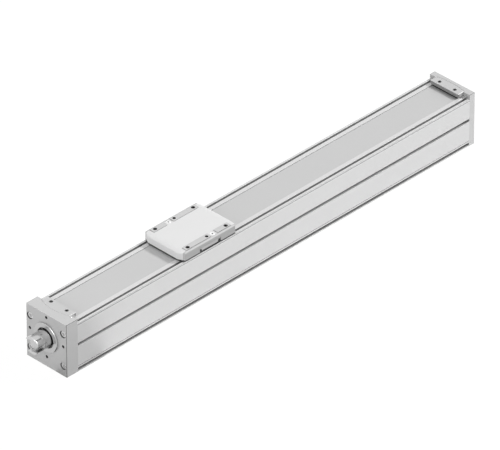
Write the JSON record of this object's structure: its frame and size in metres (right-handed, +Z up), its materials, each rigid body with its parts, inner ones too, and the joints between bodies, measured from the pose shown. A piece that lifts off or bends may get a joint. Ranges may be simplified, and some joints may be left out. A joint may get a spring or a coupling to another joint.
{
  "type": "ball screw linear axis",
  "caption": "Ball screw linear axis: slotted aluminium profile with cover strip, end caps, driven slide and coupling hub on the screw's journal.",
  "frame": {"origin": "centre of the profile-and-caps length, on the underside, midway between the sides", "axes": "+X along the travel away from the drive end, +Z up from the base face, +Y away from the side that the picture shows"},
  "size_m": [0.857, 0.08, 0.0976],
  "materials": {
    "anodised_profile": "satin, natural anodised",
    "cap_aluminium": "satin, natural anodised",
    "clamp_aluminium": "satin, natural anodised",
    "slide_aluminium": "satin, natural anodised",
    "strip_steel": "rolled",
    "ground_steel": "ground",
    "turned_steel": "turned",
    "screw_steel": "zinc plated",
    "magnet_strip": "matt",
    "dark_plastic": "moulded",
    "pale_plastic": "moulded",
    "buffer_rubber": "matt"
  },
  "bodies": {
    "base": {"profile": "anodised_profile", "guide_rail": "ground_steel", "rail_screws": "screw_steel", "drive_cap": "cap_aluminium", "drive_cap_screws": "screw_steel", "pilot_ring": "turned_steel", "far_cap": "cap_aluminium", "far_cap_screws": "screw_steel", "cover_strip": "strip_steel", "strip_magnets": "magnet_strip", "drive_strip_clamp": "clamp_aluminium", "far_strip_clamp": "clamp_aluminium", "strip_clamp_screws": "screw_steel", "sealing_plugs": "turned_steel", "drive_buffers": "buffer_rubber", "far_buffers": "buffer_rubber", "drive_bearing_ring": "ground_steel", "far_bearing_ring": "ground_steel"},
    "slide": {"slide_plate": "slide_aluminium", "carrier": "slide_aluminium", "slide_bolts": "screw_steel", "runner_block_drive": "ground_steel", "runner_block_far": "ground_steel", "runner_end_caps": "dark_plastic", "runner_screws": "screw_steel", "ball_nut": "ground_steel", "nut_screws": "screw_steel", "nut_wipers": "pale_plastic", "drive_strip_guide": "dark_plastic", "far_strip_guide": "dark_plastic", "strip_wipers": "dark_plastic", "side_seals": "dark_plastic", "lubrication_nipples": "turned_steel"},
    "spindle": {"ball_screw": "ground_steel", "drive_bearing_inner_ring": "ground_steel", "far_bearing_inner_ring": "ground_steel", "drive_lock_nut": "turned_steel", "drive_hub": "turned_steel", "hub_set_screw": "screw_steel", "far_retaining_ring": "ground_steel"},
    "drive_ball_set": {"drive_bearing_balls": "ground_steel", "drive_bearing_cage": "pale_plastic"},
    "far_ball_set": {"far_bearing_balls": "ground_steel", "far_bearing_cage": "pale_plastic"}
  },
  "joints": [
    {"name": "slide_travel", "type": "slide", "parent": "base", "child": "slide", "axis": [1, 0, 0], "range_m": [-0.177, 0.447], "deforming": ["cover_strip"]},
    {"name": "spindle_spin", "type": "hinge", "parent": "base", "child": "spindle", "pos_m": [-0.41375, 0, 0.05], "axis": [1, 0, 0], "continuous": true},
    {"name": "drive_ball_set_spin", "type": "hinge", "parent": "base", "child": "drive_ball_set", "pos_m": [-0.40075, 0, 0.05], "axis": [1, 0, 0], "continuous": true},
    {"name": "far_ball_set_spin", "type": "hinge", "parent": "base", "child": "far_ball_set", "pos_m": [0.39675, 0, 0.05], "axis": [1, 0, 0], "continuous": true}
  ],
  "couplings": [
    {"joint": "spindle_spin", "follows": "slide_travel", "rad_per_m": -314.16},
    {"joint": "drive_ball_set_spin", "follows": "slide_travel", "rad_per_m": -122.04},
    {"joint": "far_ball_set_spin", "follows": "slide_travel", "rad_per_m": -125}
  ]
}
